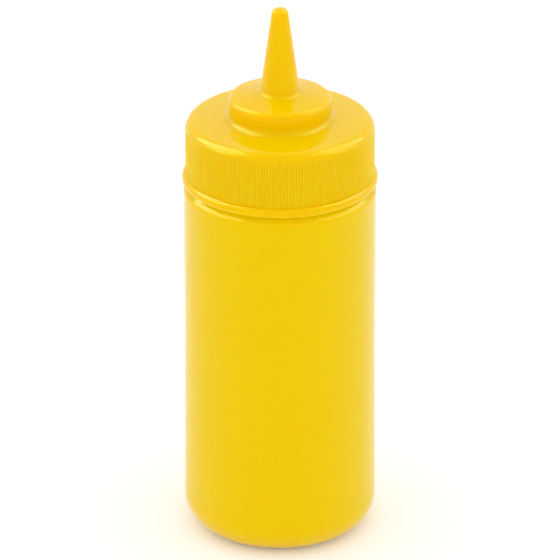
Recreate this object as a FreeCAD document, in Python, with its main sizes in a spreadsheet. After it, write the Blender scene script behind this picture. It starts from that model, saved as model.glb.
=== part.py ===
import FreeCAD, Part
import os
import Sketcher

# A squeeze bottle for sauces, with the screw closure it is poured through.
#
# bottle  the blow-moulded body: rounded base with a push-up, a side that draws in a
#         little towards its waist, rounded shoulder and the neck for the closure
# cap     the injection-moulded closure: a ribbed skirt with a bead round its rim,
#         a low conical crown, a stepped boss and a tapered blunt nozzle, all one moulding
#
# Millimetres, +Z up, origin at the middle of the base on the table plane.
# Both pieces are turned forms, so each is a half outline revolved about Z, with the
# roundings as fillets. The bottle and the cap are closed and opaque, so the bottle
# is solid and the cap's nozzle is shut.

DRIVING_SIZES = [
    # alias, value, meaning
    ("body_diameter", 71.8, "bottle side at its waist"),
    ("base_flare", 0.62, "how far the side stands out of the waist at the table plane"),
    ("shoulder_flare", 0.02, "how far the side stands out of the waist at the shoulder"),
    ("shoulder_height", 140.4, "height of the ledge round the neck"),
    ("waist_drop", 20.4, "how far the waist is below the ledge"),
    ("base_corner", 12.3, "rounding between side and base"),
    ("shoulder_corner", 3.6, "rounding between side and ledge"),
    ("standing_ring", 3.0, "width of the flat ring that the bottle stands on"),
    ("push_up_depth", 3.2, "rise of the base's middle above the table plane"),
    ("push_up_step", 1.8, "height of the steep step just inside the standing ring"),
    ("push_up_draft", 1.5, "how far that step leans inwards"),
    ("push_up_corner", 1.0, "rounding at the foot and the top of that step"),
    ("neck_ledge", 4.9, "width of the ledge from side to neck"),
    ("neck_root", 0.5, "rounding where the neck leaves the ledge"),
    ("neck_lip", 0.8, "rounding round the neck's mouth"),
    ("cap_gap", 0.35, "gap between ledge and cap rim when screwed down"),
    ("neck_clearance", 0.25, "radial clearance of the cap on the neck"),
    ("skirt_wall", 3.89, "thickness of the skirt over the ribs"),
    ("crown_wall", 2.5, "plastic left above the neck at the skirt"),
    ("skirt_height", 24.44, "rim to the sharp corner of skirt and crown"),
    ("bead_reach", 1.3, "how far the rim bead stands out of the skirt"),
    ("bead_land", 1.6, "height of the bead's widest line above the rim"),
    ("bead_height", 3.5, "height of the bead"),
    ("bead_corner", 1.4, "rounding of the bead's lower edge"),
    ("crown_rise", 1.15, "rise of the crown from skirt to boss"),
    ("crown_corner", 4.6, "rounding between skirt and crown"),
    ("boss_diameter", 38.0, "boss in the middle of the crown"),
    ("boss_height", 8.11, "height of the boss wall above the crown"),
    ("boss_foot", 2.7, "hollow rounding at the foot of the boss"),
    ("boss_corner", 2.3, "rounding of the boss's top edge"),
    ("boss_rise", 1.92, "rise of the boss top from edge to nozzle"),
    ("nozzle_diameter", 14.82, "nozzle where it leaves the boss"),
    ("nozzle_height", 32.85, "boss top to the tip"),
    ("nozzle_foot", 2.1, "hollow rounding at the foot of the nozzle"),
    ("tip_diameter", 5.8, "blunt closed tip, before its rounding"),
    ("tip_corner", 2.2, "rounding round the tip"),
    ("rib_count", 206, "grip grooves round the skirt"),
    ("rib_depth", 0.36, "depth of a grip groove"),
    ("groove_width", 0.74, "width of a grip groove at the skirt's surface"),
]
GROOVE_OVERRUN = 0.5  # how far the grooving tool stands out of the skirt, in mm
SAME_PLACE = 1e-4  # two lengths closer than this are the same, in mm
# how a sketch numbers its origin and axes, and the centre of an arc
ORIGIN = HORIZONTAL_AXIS = -1
VERTICAL_AXIS = -2
ARC_CENTRE = 3

document = FreeCAD.newDocument("squeeze_bottle")


# ---------------------------------------------------------------- sizes

class Size:
    """A length that carries its value now and the sheet formula that it comes from."""

    def __init__(self, value, formula):
        self.value = float(value)
        self.formula = formula

    def __add__(self, other):
        return Size(self.value + other.value, f"({self.formula} + {other.formula})")

    def __sub__(self, other):
        return Size(self.value - other.value, f"({self.formula} - {other.formula})")

    def __mul__(self, other):
        return Size(self.value * other.value, f"({self.formula} * {other.formula})")

    def __truediv__(self, other):
        return Size(self.value / other.value, f"({self.formula} / {other.formula})")

    def half(self):
        return Size(self.value / 2, f"({self.formula} / 2)")

    def negative(self):
        return Size(-self.value, f"(-{self.formula})")


def fill_sheet():
    """Put the driving sizes into the sheet, one row each, and return them as Sizes."""
    sheet = document.addObject("Spreadsheet::Sheet", "Sizes")
    for row, (alias, value, meaning) in enumerate(DRIVING_SIZES, 1):
        sheet.set(f"A{row}", alias)
        sheet.set(f"B{row}", str(value))
        sheet.set(f"C{row}", meaning)
        sheet.setAlias(f"B{row}", alias)
    document.recompute()
    return {alias: Size(sheet.get(alias), f"Sizes.{alias}") for alias, _, _ in DRIVING_SIZES}


size = fill_sheet()
ZERO = Size(0, "0")

# radii and heights that the two pieces share, each from the driving sizes
waist_radius = size["body_diameter"].half()
base_radius = waist_radius + size["base_flare"]
shoulder_radius = waist_radius + size["shoulder_flare"]
waist_height = size["shoulder_height"] - size["waist_drop"]
ring_inside = base_radius - size["base_corner"] - size["standing_ring"]
step_inside = ring_inside - size["push_up_draft"]
neck_radius = shoulder_radius - size["neck_ledge"]
skirt_bore = neck_radius + size["neck_clearance"]
skirt_radius = skirt_bore + size["skirt_wall"]
bead_radius = skirt_radius + size["bead_reach"]
boss_radius = size["boss_diameter"].half()
nozzle_radius = size["nozzle_diameter"].half()
tip_radius = size["tip_diameter"].half()

rim_height = size["shoulder_height"] + size["cap_gap"]
crown_edge_height = rim_height + size["skirt_height"]
ceiling_height = crown_edge_height - size["crown_wall"]
boss_foot_height = crown_edge_height + size["crown_rise"]
boss_edge_height = boss_foot_height + size["boss_height"]
nozzle_foot_height = boss_edge_height + size["boss_rise"]
tip_height = nozzle_foot_height + size["nozzle_height"]


# ---------------------------------------------------------------- drawing helpers

def new_body(label):
    body = document.addObject("PartDesign::Body", label)
    body.Label = label
    return body


def origin_feature(body, role):
    """One of the body's own planes or axes, such as XY_Plane or Z_Axis."""
    return next(item for item in body.Origin.OriginFeatures if item.Role == role)


def new_sketch(body, name, plane):
    sketch = body.newObject("Sketcher::SketchObject", name)
    sketch.AttachmentSupport = (origin_feature(body, plane), [""])
    sketch.MapMode = "FlatFace"
    return sketch


def point(place):
    """The (across, up) pair of Sizes as a point in the sketch."""
    across, up = place
    return FreeCAD.Vector(across.value, up.value, 0)


def end_near(sketch, geometry, place):
    """Which end of a line or arc, 1 or 2, lies at this place."""
    target = point(place)
    gaps = [sketch.getPoint(geometry, end).distanceToPoint(target) for end in (1, 2)]
    return 1 if gaps[0] <= gaps[1] else 2


def bind(sketch, constraint, name, formula):
    """Add a constraint under a name and tie its value to the sheet."""
    number = sketch.addConstraint(constraint)
    sketch.renameConstraint(number, name)
    sketch.setExpression(f"Constraints.{name}", formula)


def pin(sketch, geometry, end, place, name):
    """Hold one point of the sketch at its place, measured from the origin."""
    across, up = place
    if across is ZERO:
        sketch.addConstraint(Sketcher.Constraint("PointOnObject", geometry, end, VERTICAL_AXIS))
    else:
        value = Sketcher.Constraint("DistanceX", ORIGIN, 1, geometry, end, across.value)
        bind(sketch, value, f"{name}_across", across.formula)
    if up is ZERO:
        sketch.addConstraint(Sketcher.Constraint("PointOnObject", geometry, end, HORIZONTAL_AXIS))
    else:
        value = Sketcher.Constraint("DistanceY", ORIGIN, 1, geometry, end, up.value)
        bind(sketch, value, f"{name}_up", up.formula)


def arc_bulge(start, finish, centre_across, centre_up):
    """A point half way along the shorter arc from start to finish about a centre."""
    first, last = point(start), point(finish)
    centre = FreeCAD.Vector(centre_across, centre_up, 0)
    middle = (first + last) / 2 - centre
    return centre + middle.normalize() * first.distanceToPoint(centre)


def draw_outline(sketch, corners, arcs):
    """Draw the closed outline through the named corners, each a pair of Sizes.

    An edge is straight unless arcs gives, under the name of its first corner, the
    point that it passes through on the way to the next corner.
    """
    names = list(corners)
    edges = {}
    for name, following in zip(names, names[1:] + names[:1]):
        start, finish = corners[name], corners[following]
        if name in arcs:
            curve = Part.Arc(point(start), arcs[name], point(finish))
        else:
            curve = Part.LineSegment(point(start), point(finish))
        edges[name] = sketch.addGeometry(curve, False)
    for name, following in zip(names, names[1:] + names[:1]):
        meeting = corners[following]
        here, there = edges[name], edges[following]
        ends = (end_near(sketch, here, meeting), end_near(sketch, there, meeting))
        sketch.addConstraint(Sketcher.Constraint("Coincident", here, ends[0], there, ends[1]))
    return edges


def pin_corners(sketch, corners, edges):
    for name, place in corners.items():
        pin(sketch, edges[name], end_near(sketch, edges[name], place), place, name)


# ---------------------------------------------------------------- feature helpers

def turn(body, kind, sketch, name):
    """Revolve the half outline once round Z: a Revolution adds, a Groove cuts."""
    feature = body.newObject(f"PartDesign::{kind}", name)
    feature.Profile = sketch
    feature.ReferenceAxis = (sketch, ["V_Axis"])
    feature.Angle = 360
    sketch.Visibility = False
    document.recompute()
    return feature


def round_edge(body, name, radius, height, rounding):
    """Fillet the ring-shaped edge of this radius at this height."""
    base = body.Tip
    rings = []
    for number, edge in enumerate(base.Shape.Edges, 1):
        if edge.Degenerated or not isinstance(edge.Curve, Part.Circle):
            continue
        ring = edge.Curve
        same_radius = abs(ring.Radius - radius.value) < SAME_PLACE
        if same_radius and abs(ring.Center.z - height.value) < SAME_PLACE:
            rings.append(f"Edge{number}")
    if len(rings) != 1:
        raise RuntimeError(f"{name}: found {len(rings)} edges where one was expected")
    fillet = body.newObject("PartDesign::Fillet", name)
    fillet.Base = (base, rings)
    fillet.setExpression("Radius", rounding.formula)
    document.recompute()
    return fillet


# ---------------------------------------------------------------- bottle

def bottle_form(body):
    """Base, side, ledge and neck, with sharp corners that are rounded afterwards."""
    sketch = new_sketch(body, "bottle_outline", "XZ_Plane")
    corners = {
        "axis_foot": (ZERO, ZERO),
        "base": (base_radius, ZERO),
        "shoulder": (shoulder_radius, size["shoulder_height"]),
        "neck_foot": (neck_radius, size["shoulder_height"]),
        "neck_top": (neck_radius, ceiling_height),
        "axis_top": (ZERO, ceiling_height),
    }
    waist = (waist_radius, waist_height)
    edges = draw_outline(sketch, corners, {"base": point(waist)})
    pin_corners(sketch, corners, edges)
    marker = sketch.addGeometry(Part.Point(point(waist)), True)
    pin(sketch, marker, 1, waist, "waist")
    sketch.addConstraint(Sketcher.Constraint("PointOnObject", marker, 1, edges["base"]))
    return turn(body, "Revolution", sketch, "bottle_form")


def bottle_push_up(body):
    """The hollow under the base: a steep step, then a low dome up to the middle."""
    sketch = new_sketch(body, "push_up_outline", "XZ_Plane")
    corners = {
        "axis_foot": (ZERO, ZERO),
        "ring_inside": (ring_inside, ZERO),
        "step_top": (step_inside, size["push_up_step"]),
        "dome_top": (ZERO, size["push_up_depth"]),
    }
    dome_rise = size["push_up_depth"].value - size["push_up_step"].value
    dome_radius = (step_inside.value ** 2 + dome_rise ** 2) / (2 * dome_rise)
    dome_centre = size["push_up_depth"].value - dome_radius
    bulge = arc_bulge(corners["step_top"], corners["dome_top"], 0, dome_centre)
    edges = draw_outline(sketch, corners, {"step_top": bulge})
    pin_corners(sketch, corners, edges)
    dome = edges["step_top"]
    sketch.addConstraint(Sketcher.Constraint("PointOnObject", dome, ARC_CENTRE, VERTICAL_AXIS))
    return turn(body, "Groove", sketch, "bottle_push_up")


def make_bottle():
    body = new_body("bottle")
    bottle_form(body)
    round_edge(body, "base_rounding", base_radius, ZERO, size["base_corner"])
    round_edge(body, "shoulder_rounding", shoulder_radius, size["shoulder_height"],
               size["shoulder_corner"])
    round_edge(body, "neck_root_rounding", neck_radius, size["shoulder_height"],
               size["neck_root"])
    round_edge(body, "neck_lip_rounding", neck_radius, ceiling_height, size["neck_lip"])
    bottle_push_up(body)
    round_edge(body, "push_up_foot_rounding", ring_inside, ZERO, size["push_up_corner"])
    round_edge(body, "push_up_top_rounding", step_inside, size["push_up_step"],
               size["push_up_corner"])
    return body


# ---------------------------------------------------------------- cap

def cap_skirt_and_crown(body):
    """The skirt with its rim bead, and the low cone of the crown up to the boss."""
    bead_top = rim_height + size["bead_height"]
    bead_widest = rim_height + size["bead_land"]
    sketch = new_sketch(body, "skirt_outline", "XZ_Plane")
    corners = {
        "axis_foot": (ZERO, rim_height),
        "rim": (bead_radius, rim_height),
        "bead_widest": (bead_radius, bead_widest),
        "bead_top": (skirt_radius, bead_top),
        "crown_edge": (skirt_radius, crown_edge_height),
        "boss_foot": (boss_radius, boss_foot_height),
        "axis_top": (ZERO, boss_foot_height),
    }
    reach, rise = size["bead_reach"].value, bead_top.value - bead_widest.value
    bead_arc_radius = (reach ** 2 + rise ** 2) / (2 * reach)
    bulge = arc_bulge(corners["bead_widest"], corners["bead_top"],
                      bead_radius.value - bead_arc_radius, bead_widest.value)
    edges = draw_outline(sketch, corners, {"bead_widest": bulge})
    pin_corners(sketch, corners, edges)
    arc = edges["bead_widest"]
    level = Sketcher.Constraint("DistanceY", ORIGIN, 1, arc, ARC_CENTRE, bead_widest.value)
    bind(sketch, level, "bead_centre_up", bead_widest.formula)
    return turn(body, "Revolution", sketch, "cap_skirt_and_crown")


def cap_boss(body):
    """The stepped boss, with a low conical top up to the nozzle."""
    sketch = new_sketch(body, "boss_outline", "XZ_Plane")
    corners = {
        "axis_foot": (ZERO, boss_foot_height),
        "boss_foot": (boss_radius, boss_foot_height),
        "boss_edge": (boss_radius, boss_edge_height),
        "nozzle_foot": (nozzle_radius, nozzle_foot_height),
        "axis_top": (ZERO, nozzle_foot_height),
    }
    edges = draw_outline(sketch, corners, {})
    pin_corners(sketch, corners, edges)
    return turn(body, "Revolution", sketch, "cap_boss")


def cap_nozzle(body):
    """The tapered nozzle, closed and blunt at its tip."""
    sketch = new_sketch(body, "nozzle_outline", "XZ_Plane")
    corners = {
        "axis_foot": (ZERO, nozzle_foot_height),
        "nozzle_foot": (nozzle_radius, nozzle_foot_height),
        "tip_edge": (tip_radius, tip_height),
        "axis_top": (ZERO, tip_height),
    }
    edges = draw_outline(sketch, corners, {})
    pin_corners(sketch, corners, edges)
    return turn(body, "Revolution", sketch, "cap_nozzle")


def cap_bore(body):
    """The hollow of the skirt that goes over the bottle's neck, up to the ceiling."""
    sketch = new_sketch(body, "bore_outline", "XZ_Plane")
    corners = {
        "axis_foot": (ZERO, rim_height),
        "mouth": (skirt_bore, rim_height),
        "ceiling": (skirt_bore, ceiling_height),
        "axis_top": (ZERO, ceiling_height),
    }
    edges = draw_outline(sketch, corners, {})
    pin_corners(sketch, corners, edges)
    return turn(body, "Groove", sketch, "cap_bore")


def cap_ribs(body):
    """Grip ribs: one upright V groove, repeated round the skirt.

    Every groove starts on top of the bead and runs straight up at one depth, so that it
    fades out by itself where the skirt rounds over into the crown.
    """
    groove_start = rim_height + size["bead_height"]
    overrun = Size(GROOVE_OVERRUN, f"{GROOVE_OVERRUN}")
    root = skirt_radius - size["rib_depth"]
    mouth = skirt_radius + overrun
    mouth_half = size["groove_width"].half() * (size["rib_depth"] + overrun) / size["rib_depth"]
    sketch = new_sketch(body, "groove_outline", "XY_Plane")
    sketch.setExpression("AttachmentOffset.Base.z", groove_start.formula)
    corners = {
        "root": (root, ZERO),
        "mouth_right": (mouth, mouth_half.negative()),
        "mouth_left": (mouth, mouth_half),
    }
    edges = draw_outline(sketch, corners, {})
    pin_corners(sketch, corners, edges)
    document.recompute()

    before = body.Tip.Shape.Volume
    groove = body.newObject("PartDesign::Pocket", "grip_groove")
    groove.Profile = sketch
    groove.Reversed = True
    groove.setExpression("Length", (crown_edge_height - groove_start).formula)
    sketch.Visibility = False
    document.recompute()
    one_groove = before - groove.Shape.Volume

    ribs = body.newObject("PartDesign::PolarPattern", "grip_ribs")
    ribs.Originals = [groove]
    ribs.Axis = (origin_feature(body, "Z_Axis"), [""])
    ribs.Angle = 360
    ribs.setExpression("Occurrences", size["rib_count"].formula)
    body.Tip = ribs
    document.recompute()
    all_grooves = before - ribs.Shape.Volume
    expected = one_groove * size["rib_count"].value
    if one_groove <= 0 or abs(all_grooves / expected - 1) > 0.01:
        raise RuntimeError("the grip grooves do not cut the skirt as they should")
    return ribs


def make_cap():
    body = new_body("cap")
    cap_skirt_and_crown(body)
    round_edge(body, "bead_rounding", bead_radius, rim_height, size["bead_corner"])
    round_edge(body, "crown_rounding", skirt_radius, crown_edge_height, size["crown_corner"])
    cap_boss(body)
    round_edge(body, "boss_foot_rounding", boss_radius, boss_foot_height, size["boss_foot"])
    round_edge(body, "boss_edge_rounding", boss_radius, boss_edge_height, size["boss_corner"])
    cap_nozzle(body)
    round_edge(body, "nozzle_foot_rounding", nozzle_radius, nozzle_foot_height,
               size["nozzle_foot"])
    round_edge(body, "tip_rounding", tip_radius, tip_height, size["tip_corner"])
    cap_bore(body)
    cap_ribs(body)
    return body


# ---------------------------------------------------------------- check and write

def check_document():
    """Stop if any object failed to recompute, since a recompute does not say so."""
    for item in document.Objects:
        if "Invalid" in item.State or "Error" in item.State:
            raise RuntimeError(f"{item.Name} failed: {item.State}")


def write_step(body):
    shape = body.Shape
    if shape.isNull() or not shape.isValid() or len(shape.Solids) != 1:
        raise RuntimeError(f"{body.Label} is not one valid solid")
    shape.exportStep(os.path.join("parts", f"{body.Label}.step"))
    box = shape.optimalBoundingBox(False, False)
    print(f"{body.Label}: {shape.Volume / 1000:.1f} cm3, z {box.ZMin:.2f} to {box.ZMax:.2f} mm,"
          f" {box.XLength:.2f} mm across, {len(shape.Faces)} faces")


pieces = [make_bottle(), make_cap()]
check_document()
os.makedirs("parts", exist_ok=True)
for piece in pieces:
    write_step(piece)
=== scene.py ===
# %% [markdown]
# # Squeeze bottle with a ribbed nozzle cap
#
# This lesson dresses a finished solid model of a kitchen squeeze bottle. The bottle and its cap
# are both bodies of revolution: one outline, turned once round the upright axis. We draw each
# outline from the bottle's named sizes, turn it with Geometry Nodes, and then give both pieces
# one moulded plastic.

import math

import bmesh
import bpy
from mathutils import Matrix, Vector
from mathutils.bvhtree import BVHTree


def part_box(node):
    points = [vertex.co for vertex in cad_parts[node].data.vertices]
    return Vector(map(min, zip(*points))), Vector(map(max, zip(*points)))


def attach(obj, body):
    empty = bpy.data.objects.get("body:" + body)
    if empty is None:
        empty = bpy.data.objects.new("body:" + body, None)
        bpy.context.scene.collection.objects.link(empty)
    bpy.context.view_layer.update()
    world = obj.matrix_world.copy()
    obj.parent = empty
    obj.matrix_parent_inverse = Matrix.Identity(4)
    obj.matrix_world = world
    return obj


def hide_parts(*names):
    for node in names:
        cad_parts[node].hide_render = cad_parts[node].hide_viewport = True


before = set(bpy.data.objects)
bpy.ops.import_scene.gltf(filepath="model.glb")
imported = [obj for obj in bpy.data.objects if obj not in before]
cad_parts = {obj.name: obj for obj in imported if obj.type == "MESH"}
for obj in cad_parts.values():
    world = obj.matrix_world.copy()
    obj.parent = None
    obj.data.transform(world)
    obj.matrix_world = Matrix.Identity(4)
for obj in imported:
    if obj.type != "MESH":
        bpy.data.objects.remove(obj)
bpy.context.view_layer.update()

# %% [markdown]
# ## Sizes
#
# The solid model tells where each piece starts and ends, so the heights of the cap's rim, the
# neck's top and the nozzle's tip are read from it. The other sizes, radii, roundings and steps,
# are named here in millimetres, as a toolmaker would read them off the drawing.

# %% Heights read from the solids, and the other sizes from the drawing
MM = 0.001

bottle_low, bottle_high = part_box("bottle")
cap_low, cap_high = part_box("cap")
rim_height = cap_low.z
neck_top = bottle_high.z
tip_height = cap_high.z

# bottle
waist_radius = 35.9 * MM
base_radius = waist_radius + 0.62 * MM
shoulder_radius = waist_radius + 0.02 * MM
waist_height = 120.0 * MM
shoulder_height = rim_height - 0.05 * MM
base_corner = 12.3 * MM
shoulder_bevel = 2.9 * MM
shoulder_corner = 1.8 * MM
neck_radius = shoulder_radius - 4.9 * MM
neck_root = 0.5 * MM
neck_lip = 0.8 * MM
ring_inside = base_radius - base_corner - 3.0 * MM
step_inside = ring_inside - 1.5 * MM
step_height = 1.8 * MM
dome_height = 3.2 * MM
step_corner = 1.0 * MM

# cap
skirt_bore = neck_radius + 0.25 * MM
skirt_radius = skirt_bore + 3.89 * MM
bead_radius = skirt_radius + 1.3 * MM
bead_widest = rim_height + 1.6 * MM
bead_top = rim_height + 3.5 * MM
bead_corner = 1.4 * MM
crown_edge = rim_height + 24.44 * MM
crown_corner = 4.0 * MM
boss_radius = 19.0 * MM
boss_foot = crown_edge + 1.15 * MM
boss_foot_hollow = 2.4 * MM
boss_edge = boss_foot + 8.11 * MM
boss_corner = 1.9 * MM
nozzle_radius = 7.41 * MM
nozzle_foot = boss_edge + 1.92 * MM
nozzle_foot_hollow = 1.9 * MM
tip_radius = 2.9 * MM
tip_corner = 2.2 * MM
groove_count = 206
groove_depth = 0.36 * MM
groove_width = 0.94 * MM

print("cap skirt radius, mm:", round(skirt_radius / MM, 2))
print("groove pitch, mm:", round(2 * math.pi * skirt_radius / groove_count / MM, 3))

# %% [markdown]
# ## Drawing an outline
#
# An outline is a list of corners, each with the rounding that the mould cutter leaves there. A
# sharp corner needs one point; a rounded one becomes a short run of points on an arc. A Bevel
# modifier could round a finished mesh, but it would need a weight for every edge. Working the
# arcs out here keeps the outlines as short as the drawing is.

# %% Round the corners of an outline
ARC_STEP = math.radians(7)


def spread(first, last, pieces):
    """Evenly spaced values from first to last, both included."""
    return [first + (last - first) * i / pieces for i in range(pieces + 1)]


def arc_points(centre, radius, start, end, step=ARC_STEP):
    """Points along an arc, both ends included; angles run from the outward direction up."""
    angles = spread(start, end, max(2, math.ceil(abs(end - start) / step)))
    return [centre + radius * Vector((math.cos(a), math.sin(a))) for a in angles]


def round_corner(before, corner, after, rounding, step=ARC_STEP):
    """The arc of that radius that touches both sides of a corner."""
    back = (before - corner).normalized()
    ahead = (after - corner).normalized()
    half = back.angle(ahead) / 2
    centre = corner + (back + ahead).normalized() * rounding / math.sin(half)
    reach = rounding / math.tan(half)
    start = corner + back * reach - centre
    end = corner + ahead * reach - centre
    first = math.atan2(start.y, start.x)
    turn = math.remainder(math.atan2(end.y, end.x) - first, 2 * math.pi)
    return arc_points(centre, rounding, first, first + turn, step)


def rounded_outline(corners, step=ARC_STEP, support=0):
    """Points (radius, height) of an outline given as (radius, height, rounding) corners.

    A support is a point that far before and after each arc, so that the shading of the arc
    doesn't run out over the straight part beside it.
    """
    places = [Vector(corner[:2]) for corner in corners]
    points = []
    for i, corner in enumerate(corners):
        if not corner[2]:
            points.append(places[i])
            continue
        arc = round_corner(places[i - 1], places[i], places[i + 1], corner[2], step)
        if support:
            arc.insert(0, arc[0] + (places[i - 1] - places[i]).normalized() * support)
            arc.append(arc[-1] + (places[i + 1] - places[i]).normalized() * support)
        points += arc
    return points


print("points on a rounded right angle:", math.ceil(math.radians(90) / ARC_STEP) + 1)

# %% [markdown]
# ## The bottle's outline
#
# The side of a blown bottle isn't quite straight: it draws in a little towards a waist and
# stands out again at the base. One large arc through base, waist and shoulder gives that. Under
# the base is the push-up, the hollow that lets the bottle stand on a ring and not rock.
#
# At the shoulder the solid has one rounding. Here a short bevel with two small roundings takes
# its place, and the ledge comes up to the cap's rim, so that light reaches into the joint.

# %% Draw the bottle's outline
SIDE_POINTS = 28
SIDE_START = 1.1  # in base roundings: just above the end of the base's arc
DOME_POINTS = 5
DOME_END = 1.5  # in step roundings: just inside the end of the step's arc


def arc_through(first, middle, last):
    """Centre and radius of the circle through three points."""
    a, b = middle - first, last - first
    cross = 2 * a.cross(b)
    shift = Vector((b.y * a.length_squared - a.y * b.length_squared,
                    a.x * b.length_squared - b.x * a.length_squared)) / cross
    return first + shift, shift.length


side_centre, side_arc = arc_through(Vector((base_radius, 0)), Vector((waist_radius, waist_height)),
                                    Vector((shoulder_radius, shoulder_height)))


def side_point(height):
    across = math.sqrt(side_arc ** 2 - (height - side_centre.y) ** 2)
    return (side_centre.x - across, height, 0)


dome_rise = dome_height - step_height
dome_arc = (step_inside ** 2 + dome_rise ** 2) / (2 * dome_rise)


def dome_point(radius):
    return (radius, dome_height - dome_arc + math.sqrt(dome_arc ** 2 - radius ** 2), 0)


bevel_foot = shoulder_height - shoulder_bevel
side_heights = spread(SIDE_START * base_corner, bevel_foot - shoulder_corner, SIDE_POINTS)
dome_radii = spread(0, step_inside - DOME_END * step_corner, DOME_POINTS)

bottle_outline = rounded_outline([
    *[dome_point(radius) for radius in dome_radii],
    (step_inside, step_height, step_corner),
    (ring_inside, 0, step_corner),
    (base_radius, 0, base_corner),
    *[side_point(height) for height in side_heights],
    (shoulder_radius, bevel_foot, shoulder_corner),
    (shoulder_radius - shoulder_bevel, shoulder_height, neck_lip),
    (neck_radius, shoulder_height, neck_root),
    (neck_radius, neck_top, neck_lip),
    (0, neck_top, 0),
])
print("bottle outline:", len(bottle_outline), "points; side arc, m:", round(side_arc, 2))

# %% [markdown]
# ## The cap's outline
#
# From inside to outside: the bore that goes over the neck, the rim with its rolled bead, the
# upright skirt, the low cone of the crown, the stepped boss, and the tapered nozzle with its
# blunt rounded tip. The grooves start above the bead, so the outline is kept in two lists.

# %% Draw the cap's outline
CROWN_STEP = math.radians(4)
CROWN_SUPPORT = 0.2 * MM

bead_rise = bead_top - bead_widest
bead_reach = bead_radius - skirt_radius
bead_arc = (bead_reach ** 2 + bead_rise ** 2) / (2 * bead_reach)
bead_points = arc_points(Vector((bead_radius - bead_arc, bead_widest)), bead_arc,
                         0, math.asin(bead_rise / bead_arc))

below_grooves = rounded_outline([
    (0, neck_top, 0),
    (skirt_bore, neck_top, 0),
    (skirt_bore, rim_height, 0),
    (bead_radius, rim_height, bead_corner),
    *[(*place, 0) for place in bead_points],
])
above_grooves = rounded_outline([
    (skirt_radius, bead_top, 0),
    (skirt_radius, crown_edge, crown_corner),
    (boss_radius, boss_foot, boss_foot_hollow),
    (boss_radius, boss_edge, boss_corner),
    (nozzle_radius, nozzle_foot, nozzle_foot_hollow),
    (tip_radius, tip_height, tip_corner),
    (0, tip_height, 0),
], CROWN_STEP, CROWN_SUPPORT)
cap_outline = below_grooves + above_grooves
print("cap outline:", len(cap_outline), "points")

# %% [markdown]
# ## A node tree that turns an outline
#
# Both pieces follow the same rule, so one Geometry Nodes tree makes both. A flat grid gets one
# row of points for each point of the outline and one column for each step round the axis; each
# grid point then moves to its outline point, turned by its column's angle.
#
# A Screw modifier would turn the outline as well, but it couldn't cut the grooves. The grip
# grooves follow a rule too. Four columns serve each groove: its floor, its far edge,
# the land, and the next groove's near edge. Where the outline is marked as grooved, the floor
# column keeps to the groove's root. As the crown rounds away inwards, the groove runs out.

# %% Helpers for building a node tree
def add_node(tree, kind, inputs=None, **settings):
    """Adds a node; inputs maps a socket's name or number to a value or to another socket."""
    node = tree.nodes.new(kind)
    for name, value in settings.items():
        setattr(node, name, value)
    for key, value in (inputs or {}).items():
        if isinstance(value, bpy.types.NodeSocket):
            tree.links.new(value, node.inputs[key])
        else:
            node.inputs[key].default_value = value
    return node


def maths(tree, operation, *terms):
    """A Math node's result; terms are numbers or sockets."""
    return add_node(tree, "ShaderNodeMath", dict(enumerate(terms)), operation=operation).outputs[0]


# %% Build the turning tree
COLUMNS_PER_DIVISION = 4
SHARP_ANGLE = math.radians(50)
SAME_POINT = 1e-6
SAME_COLUMN = 0.5  # column numbers closer than this are the same


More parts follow.
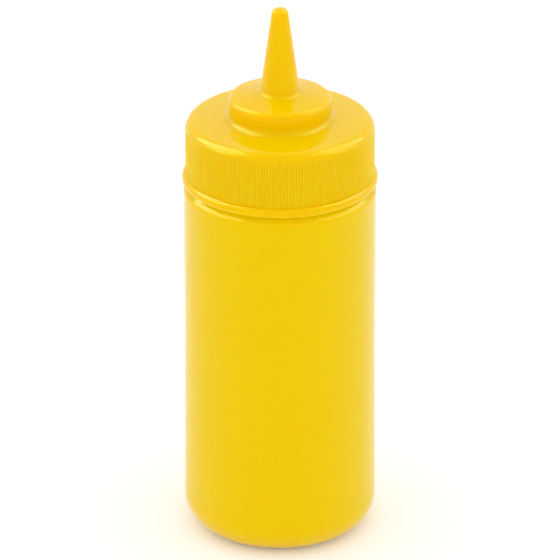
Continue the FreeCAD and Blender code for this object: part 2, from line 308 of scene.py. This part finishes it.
def build_turning_tree():
    """Geometry Nodes: an outline of points marked 'grooved' becomes a closed turned form."""
    tree = bpy.data.node_groups.new("turned form", "GeometryNodeTree")
    tree.interface.new_socket("Outline", in_out="INPUT", socket_type="NodeSocketGeometry")
    tree.interface.new_socket("Divisions", in_out="INPUT", socket_type="NodeSocketInt")
    for name in ("Skirt Radius", "Groove Depth", "Groove Width"):
        tree.interface.new_socket(name, in_out="INPUT", socket_type="NodeSocketFloat")
    tree.interface.new_socket("Material", in_out="INPUT", socket_type="NodeSocketMaterial")
    tree.interface.new_socket("Form", in_out="OUTPUT", socket_type="NodeSocketGeometry")
    given = tree.nodes.new("NodeGroupInput").outputs

    # a grid with a row for each point of the outline and a column for each step round the axis
    size_of = add_node(tree, "GeometryNodeAttributeDomainSize", {"Geometry": given["Outline"]},
                       component="MESH")
    rows = size_of.outputs["Point Count"]
    columns = maths(tree, "MULTIPLY_ADD", given["Divisions"], COLUMNS_PER_DIVISION, 1)
    grid = add_node(tree, "GeometryNodeMeshGrid", {"Vertices X": columns, "Vertices Y": rows})

    # for each grid point, its outline point and that point's mark
    index = tree.nodes.new("GeometryNodeInputIndex").outputs[0]
    column = maths(tree, "FLOOR", maths(tree, "DIVIDE", index, rows))
    row = maths(tree, "FLOORED_MODULO", index, rows)
    place_of = tree.nodes.new("GeometryNodeInputPosition").outputs[0]
    mark_of = add_node(tree, "GeometryNodeInputNamedAttribute", {"Name": "grooved"},
                       data_type="FLOAT").outputs["Attribute"]
    place = add_node(tree, "GeometryNodeSampleIndex", data_type="FLOAT_VECTOR",
                     inputs={"Geometry": given["Outline"], "Value": place_of, "Index": row})
    mark = add_node(tree, "GeometryNodeSampleIndex", data_type="FLOAT",
                    inputs={"Geometry": given["Outline"], "Value": mark_of, "Index": row})
    part = add_node(tree, "ShaderNodeSeparateXYZ", {0: place.outputs[0]})
    radius, height = part.outputs["X"], part.outputs["Z"]

    # how open a groove is here: 1 on the skirt, less as the crown rounds away, 0 at its root
    root = maths(tree, "SUBTRACT", given["Skirt Radius"], given["Groove Depth"])
    above_root = maths(tree, "DIVIDE", maths(tree, "SUBTRACT", radius, root),
                       given["Groove Depth"])
    clamped = add_node(tree, "ShaderNodeClamp", {"Value": above_root}).outputs[0]
    open_share = maths(tree, "MULTIPLY", clamped, mark.outputs[0])

    # the column's angle round the axis
    division = maths(tree, "FLOOR", maths(tree, "DIVIDE", column, COLUMNS_PER_DIVISION))
    phase = maths(tree, "FLOORED_MODULO", column, COLUMNS_PER_DIVISION)
    is_floor, is_far_edge, is_land, is_near_edge = [
        maths(tree, "COMPARE", phase, i, SAME_COLUMN) for i in range(COLUMNS_PER_DIVISION)]
    pitch = maths(tree, "DIVIDE", 2 * math.pi, given["Divisions"])
    half_groove = maths(tree, "DIVIDE", maths(tree, "DIVIDE", given["Groove Width"], 2),
                        given["Skirt Radius"])
    edge = maths(tree, "MULTIPLY", half_groove, open_share)
    whole_steps = maths(tree, "ADD", division, maths(tree, "MULTIPLY_ADD", is_land, 0.5,
                                                      is_near_edge))
    sideways = maths(tree, "MULTIPLY", maths(tree, "SUBTRACT", is_far_edge, is_near_edge), edge)
    angle = maths(tree, "MULTIPLY_ADD", whole_steps, pitch, sideways)

    # the point's place, nearer the axis on a groove's floor
    cut = maths(tree, "MULTIPLY", maths(tree, "MULTIPLY", is_floor, open_share),
                given["Groove Depth"])
    turned_radius = maths(tree, "SUBTRACT", radius, cut)
    moved = add_node(tree, "ShaderNodeCombineXYZ", {
        "X": maths(tree, "MULTIPLY", turned_radius, maths(tree, "COSINE", angle)),
        "Y": maths(tree, "MULTIPLY", turned_radius, maths(tree, "SINE", angle)),
        "Z": height,
    })
    form = add_node(tree, "GeometryNodeSetPosition",
                    {"Geometry": grid.outputs["Mesh"], "Position": moved.outputs[0]})
    # close the seam and the poles, then shade smooth up to the sharp edges
    form = add_node(tree, "GeometryNodeMergeByDistance",
                    {"Geometry": form.outputs[0], "Distance": SAME_POINT})
    bend = tree.nodes.new("GeometryNodeInputMeshEdgeAngle").outputs["Unsigned Angle"]
    form = add_node(tree, "GeometryNodeSetShadeSmooth", {"Geometry": form.outputs[0]})
    form = add_node(tree, "GeometryNodeSetShadeSmooth", {
        "Geometry": form.outputs[0], "Selection": maths(tree, "GREATER_THAN", bend, SHARP_ANGLE),
        "Shade Smooth": False}, domain="EDGE")
    form = add_node(tree, "GeometryNodeRealizeInstances", {"Geometry": form.outputs[0]})
    form = add_node(tree, "GeometryNodeSetMaterial",
                    {"Geometry": form.outputs[0], "Material": given["Material"]})
    tree.links.new(form.outputs[0], tree.nodes.new("NodeGroupOutput").inputs["Form"])
    return tree


turning_tree = build_turning_tree()
print("turning tree:", len(turning_tree.nodes), "nodes")

# %% [markdown]
# ## Moulded grain
#
# A moulded surface is never quite even: it takes up the fine grain of the steel, and the plastic
# flows in broad, shallow waves. Two noise textures, one fine and one broad, give both. They read
# the object's own coordinates, so the grain stays with the piece. Bottle and cap both have it,
# so it is a node group, made once.

# %% A group for the fine grain that a mould leaves
FLOW_SHARE = 2.0
GRAIN_DETAIL = 2.0
FLOW_DETAIL = 1.0


def new_group(name, inputs, outputs):
    """An empty shader group, with its input sockets and its result sockets."""
    group = bpy.data.node_groups.new(name, "ShaderNodeTree")
    for socket in inputs:
        group.interface.new_socket(socket, in_out="INPUT", socket_type="NodeSocketFloat")
    for socket, kind in outputs.items():
        group.interface.new_socket(socket, in_out="OUTPUT", socket_type=kind)
    given = group.nodes.new("NodeGroupInput").outputs
    result = group.nodes.new("NodeGroupOutput").inputs
    return group, given, result


def build_grain_group():
    """Moulded grain: a bump height and a roughness, both read from the object's coordinates."""
    group, given, result = new_group(
        "moulded grain", ["Grain Size", "Flow Size", "Roughness", "Roughness Spread"],
        {"Height": "NodeSocketFloat", "Roughness": "NodeSocketFloat"})
    place = group.nodes.new("ShaderNodeTexCoord").outputs["Object"]
    grain = add_node(group, "ShaderNodeTexNoise", {
        "Vector": place, "Scale": maths(group, "DIVIDE", 1, given["Grain Size"]),
        "Detail": GRAIN_DETAIL})
    flow = add_node(group, "ShaderNodeTexNoise", {
        "Vector": place, "Scale": maths(group, "DIVIDE", 1, given["Flow Size"]),
        "Detail": FLOW_DETAIL})
    height = maths(group, "MULTIPLY_ADD", flow.outputs[0], FLOW_SHARE, grain.outputs[0])
    group.links.new(height, result["Height"])
    uneven = maths(group, "MULTIPLY_ADD", maths(group, "SUBTRACT", flow.outputs[0], 0.5),
                   given["Roughness Spread"], given["Roughness"])
    group.links.new(uneven, result["Roughness"])
    return group


grain_group = build_grain_group()
print("grain group:", len(grain_group.nodes), "nodes")

# %% [markdown]
# ## The joint under the cap
#
# Where two thin edges meet, the light that comes through them fills the joint. Solid forms can't
# show that, so the joint gets painted light: a paler, warmer colour that lightens the shade in the
# crease. The group gives a mask from the radius and the height of a point, and each material
# mixes its own colour and the painted light by that mask.

# %% A group that finds the joint between bottle and cap
def build_joint_light_mask():
    """1 deep in the joint and 0 outside: inside a radius, and within a reach of a height."""
    group, given, result = new_group(
        "joint", ["Radius", "Height", "Reach", "Softness"], {"Depth": "NodeSocketFloat"})
    part = add_node(group, "ShaderNodeSeparateXYZ", {
        0: group.nodes.new("ShaderNodeTexCoord").outputs["Object"]}).outputs
    radius = maths(group, "SQRT", maths(group, "ADD", maths(group, "MULTIPLY", part[0], part[0]),
                                        maths(group, "MULTIPLY", part[1], part[1])))
    inside = maths(group, "DIVIDE", maths(group, "SUBTRACT", given["Radius"], radius),
                   given["Softness"])
    away = maths(group, "ABSOLUTE", maths(group, "SUBTRACT", part[2], given["Height"]))
    level = maths(group, "DIVIDE", maths(group, "SUBTRACT", given["Reach"], away),
                  given["Softness"])
    both = add_node(group, "ShaderNodeClamp", {0: maths(group, "MINIMUM", inside, level)})
    group.links.new(both.outputs[0], result["Depth"])
    return group


# the mask for the painted light that lightens the shade in the joint
joint_light_mask = build_joint_light_mask()
print("joint group:", len(joint_light_mask.nodes), "nodes")

# %% [markdown]
# ## The plastic
#
# Bottle and cap are the same glossy yellow polyethylene, the cap a little warmer. The plastic
# lets some light in, red the farthest, which softens the shading. The gloss is the plastic's own
# Fresnel: hardly any white where we look straight at it, and more and more towards the edges. Its
# tint takes most of the blue out of the straight gloss, so the yellow stays clean.

# %% Make the plastic
GRAIN_SIZE = 0.35 * MM
FLOW_SIZE = 9 * MM
GRAIN_DEPTH = 0.002 * MM
JOINT_REACH = 2.2 * MM
JOINT_SOFTNESS = 0.5 * MM
GLOSS_INDEX = 1.5
GLOSS_LEVEL = 0.3
GLOSS_TINT = (1, 1, 0.2, 1)
LIGHT_DEPTH = 3 * MM
LIGHT_DEPTH_BY_COLOUR = (1.0, 0.35, 0.1)
# painted light: a paler, warmer yellow that lightens the shade in the joint under the cap
JOINT_PAINTED_LIGHT = (1.0, 0.71, 0.0)


def make_plastic(name, colour, joint_light_radius, roughness):
    material = bpy.data.materials.new(name)
    material.use_nodes = True
    tree = material.node_tree
    shader = tree.nodes["Principled BSDF"]
    grain = add_node(tree, "ShaderNodeGroup", node_tree=grain_group, inputs={
        "Grain Size": GRAIN_SIZE, "Flow Size": FLOW_SIZE,
        "Roughness": roughness, "Roughness Spread": roughness / 2})
    # where the painted light lightens the shade in the joint
    joint = add_node(tree, "ShaderNodeGroup", node_tree=joint_light_mask, inputs={
        "Radius": joint_light_radius, "Height": rim_height,
        "Reach": JOINT_REACH, "Softness": JOINT_SOFTNESS})
    # the plastic's own colour, mixed with the painted light in the joint
    mixed = add_node(tree, "ShaderNodeMix", data_type="RGBA", inputs={
        "Factor": joint.outputs["Depth"], 6: (*colour, 1), 7: (*JOINT_PAINTED_LIGHT, 1)})
    bump = add_node(tree, "ShaderNodeBump", {
        "Strength": 1.0, "Distance": GRAIN_DEPTH, "Height": grain.outputs["Height"]})
    tree.links.new(mixed.outputs[2], shader.inputs["Base Color"])
    tree.links.new(grain.outputs["Roughness"], shader.inputs["Roughness"])
    tree.links.new(bump.outputs["Normal"], shader.inputs["Normal"])
    for socket, value in {
        "IOR": GLOSS_INDEX, "Specular IOR Level": GLOSS_LEVEL, "Specular Tint": GLOSS_TINT,
        "Subsurface Weight": 1.0, "Subsurface Scale": LIGHT_DEPTH,
        "Subsurface Radius": LIGHT_DEPTH_BY_COLOUR,
    }.items():
        shader.inputs[socket].default_value = value
    print("made", name)
    return material


bottle_plastic = make_plastic("bottle plastic", (0.96, 0.637, 0.0), joint_light_radius=35.3 * MM,
                              roughness=0.08)
cap_plastic = make_plastic("cap plastic", (0.955, 0.6, 0.0), joint_light_radius=36.3 * MM,
                           roughness=0.05)

# %% [markdown]
# ## Turn the two pieces
#
# Each outline becomes a small mesh of points and edges, which carries the 'grooved' mark. The
# tree turns it, the result is kept as a plain mesh, and the modifier goes.

# %% Turn an outline into a finished piece
def outline_object(name, outline, grooved):
    """The outline as a mesh of points and edges, each point marked as grooved or not."""
    mesh = bpy.data.meshes.new(name)
    mesh.from_pydata([(point.x, 0, point.y) for point in outline],
                     [(i, i + 1) for i in range(len(outline) - 1)], [])
    mark = mesh.attributes.new("grooved", "FLOAT", "POINT")
    mark.data.foreach_set("value", [float(flag) for flag in grooved])
    piece = bpy.data.objects.new(name, mesh)
    bpy.context.scene.collection.objects.link(piece)
    return piece


def turn_outline(name, outline, grooved, material, divisions):
    """The finished piece that the turning tree makes of an outline."""
    piece = outline_object(name, outline, grooved)
    modifier = piece.modifiers.new("turned form", "NODES")
    modifier.node_group = turning_tree
    values = {"Divisions": divisions, "Skirt Radius": skirt_radius, "Groove Depth": groove_depth,
              "Groove Width": groove_width, "Material": material}
    for item in turning_tree.interface.items_tree:
        if item.name in values:
            modifier[item.identifier] = values[item.name]
    evaluated = piece.evaluated_get(bpy.context.evaluated_depsgraph_get())
    turned = bpy.data.meshes.new_from_object(evaluated)
    piece.modifiers.clear()
    piece.data = turned
    face_outwards(turned)
    turned.name = name
    triangles = len(turned.loops) - 2 * len(turned.polygons)
    print(name, "-", len(turned.vertices), "points,", triangles, "triangles")
    return piece


def face_outwards(mesh):
    """Drops faces without area and points all the others away from the inside."""
    work = bmesh.new()
    work.from_mesh(mesh)
    bmesh.ops.dissolve_degenerate(work, dist=SAME_POINT / 10, edges=work.edges)
    bmesh.ops.recalc_face_normals(work, faces=work.faces)
    open_edges = sum(1 for edge in work.edges if not edge.is_manifold)
    work.to_mesh(mesh)
    work.free()
    print("open edges:", open_edges)


BOTTLE_DIVISIONS = 128

bottle_body = turn_outline("bottle_body", bottle_outline, [False] * len(bottle_outline),
                           bottle_plastic, BOTTLE_DIVISIONS)
cap_marks = [False] * len(below_grooves) + [True] * len(above_grooves)
screw_cap = turn_outline("screw_cap", cap_outline, cap_marks, cap_plastic, groove_count)

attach(bottle_body, "root")
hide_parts("bottle")
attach(screw_cap, "root")
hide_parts("cap")

# %% [markdown]
# ## Check the fit
#
# The turned forms stand in for the solids, so they may not stray from them. The distance from
# each of their points to the solid's surface tells how far they do.

# %% Measure how closely the turned forms keep to the solids
def largest_gap(piece, node):
    """Largest distance from the piece's points to the solid's surface."""
    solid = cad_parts[node].data
    tree = BVHTree.FromPolygons([v.co for v in solid.vertices],
                                [p.vertices[:] for p in solid.polygons])
    return max(tree.find_nearest(v.co)[3] for v in piece.data.vertices)


print("bottle_body to solid, mm:", round(largest_gap(bottle_body, "bottle") / MM, 3))
print("screw_cap to solid, mm:", round(largest_gap(screw_cap, "cap") / MM, 3))

# %% [markdown]
# ## Floor
#
# The bottle stands on white paper. The paper lies a hair below the standing ring, so that the
# two surfaces never share a plane. A little glow of its own lifts it to pure white where it is
# seen, and the soft shadow round the base stays.

# %% A helper for what the lens sees
def seen_directly(tree):
    """1 where the camera looks, directly or through gloss or glass; 0 where light only bounces."""
    path = tree.nodes.new("ShaderNodeLightPath").outputs
    return maths(tree, "MAXIMUM", path["Is Camera Ray"],
                 maths(tree, "MAXIMUM", path["Is Glossy Ray"], path["Is Transmission Ray"]))


# %% Lay the floor
FLOOR_HALF = 3.0
FLOOR_WHITE = 0.92
FLOOR_LIFT = 0.16
FLOOR_HEIGHT = -0.02 * MM


def make_floor():
    """White paper, lifted to pure white where it is seen, with the soft shadow left in."""
    mesh = bpy.data.meshes.new("floor")
    mesh.from_pydata([(x * FLOOR_HALF, y * FLOOR_HALF, FLOOR_HEIGHT)
                      for x, y in ((-1, -1), (1, -1), (1, 1), (-1, 1))], [], [(0, 1, 2, 3)])
    floor = bpy.data.objects.new("floor", mesh)
    bpy.context.scene.collection.objects.link(floor)
    material = bpy.data.materials.new("white floor")
    material.use_nodes = True
    tree = material.node_tree
    tree.nodes.clear()
    paper = add_node(tree, "ShaderNodeBsdfDiffuse", {"Color": (*[FLOOR_WHITE] * 3, 1)})
    glow = add_node(tree, "ShaderNodeEmission", {
        "Color": (1, 1, 1, 1),
        "Strength": maths(tree, "MULTIPLY", seen_directly(tree), FLOOR_LIFT)})
    both = add_node(tree, "ShaderNodeAddShader", {0: paper.outputs[0], 1: glow.outputs[0]})
    out = tree.nodes.new("ShaderNodeOutputMaterial")
    tree.links.new(both.outputs[0], out.inputs["Surface"])
    mesh.materials.append(material)
    print("floor:", 2 * FLOOR_HALF, "m square")


make_floor()

# %% [markdown]
# ## Tent
#
# A product like this is shown in a tent of white cloth, which lights it evenly from all round.
# The world does the same with no lamp: a little brighter overhead than at the walls, and plain
# white where it is seen behind the bottle or in its gloss.

# %% Put up the tent
TENT_WALL = 0.86
TENT_TOP = 0.29


def make_tent():
    """A white tent whose roof gives a little more light than its walls; plain white where seen."""
    world = bpy.data.worlds.new("white tent")
    bpy.context.scene.world = world
    world.use_nodes = True
    tree = world.node_tree
    tree.nodes.clear()
    way_up = add_node(tree, "ShaderNodeSeparateXYZ", {
        0: tree.nodes.new("ShaderNodeTexCoord").outputs["Generated"]}).outputs["Z"]
    cloth = maths(tree, "MULTIPLY_ADD", maths(tree, "MAXIMUM", way_up, 0), TENT_TOP, TENT_WALL)
    strength = add_node(tree, "ShaderNodeMix", {
        "Factor": seen_directly(tree), "A": cloth, "B": 1.0})
    tent = add_node(tree, "ShaderNodeBackground", {
        "Color": (1, 1, 1, 1), "Strength": strength.outputs["Result"]})
    out = tree.nodes.new("ShaderNodeOutputWorld")
    tree.links.new(tent.outputs[0], out.inputs["Surface"])
    print("tent: walls", TENT_WALL, "- overhead", round(TENT_WALL + TENT_TOP, 2))


make_tent()

# %% [markdown]
# ## Soft banks
#
# Two large lamps shine in, one from each side, the left one brighter. They draw the
# pale crescents on shoulder, crown and boss. They are kept out of the diffuse light, so they
# change the gloss and leave the colour alone.

# %% Place the soft banks
BANK_SIZE = (0.92, 0.9)
BANK_AIM = Vector((0, 0, 0.1))


def soft_bank(name, place, brightness):
    """A large rectangular lamp that faces the middle of the bottle and shows only as gloss."""
    lamp = bpy.data.lights.new(name, "AREA")
    lamp.shape = "RECTANGLE"
    lamp.size, lamp.size_y = BANK_SIZE
    lamp.energy = brightness * math.pi * lamp.size * lamp.size_y
    bank = bpy.data.objects.new(name, lamp)
    bpy.context.scene.collection.objects.link(bank)
    bank.location = place
    bank.visible_diffuse = False
    bank.rotation_euler = (BANK_AIM - Vector(place)).to_track_quat("-Z", "Y").to_euler()
    print(name, "-", round(lamp.energy, 1), "W")


soft_bank("left bank", (-0.70, 0.12, 0.84), 7.0)
soft_bank("right bank", (0.70, 0.12, 0.84), 4.0)

# %% [markdown]
# ## Camera
#
# A long lens from two metres away, looking down at about 25 degrees, keeps the sides of the
# bottle nearly parallel, as in a catalogue.

# %% Camera
CAMERA_DISTANCE = 2.0075
CAMERA_ELEVATION = math.radians(25.12)
CAMERA_AIM = Vector((0, 0, 0.0993))
FRAME_SPAN = 0.210

camera_data = bpy.data.cameras.new("camera")
camera_data.lens = camera_data.sensor_width * CAMERA_DISTANCE / FRAME_SPAN
camera = bpy.data.objects.new("camera", camera_data)
bpy.context.scene.collection.objects.link(camera)
towards_camera = Vector((0, -math.cos(CAMERA_ELEVATION), math.sin(CAMERA_ELEVATION)))
camera.location = CAMERA_AIM + towards_camera * CAMERA_DISTANCE
camera.rotation_euler = (-towards_camera).to_track_quat("-Z", "Y").to_euler()
bpy.context.scene.camera = camera
bpy.context.scene.view_settings.view_transform = "Standard"
print("lens, mm:", round(camera_data.lens, 1))
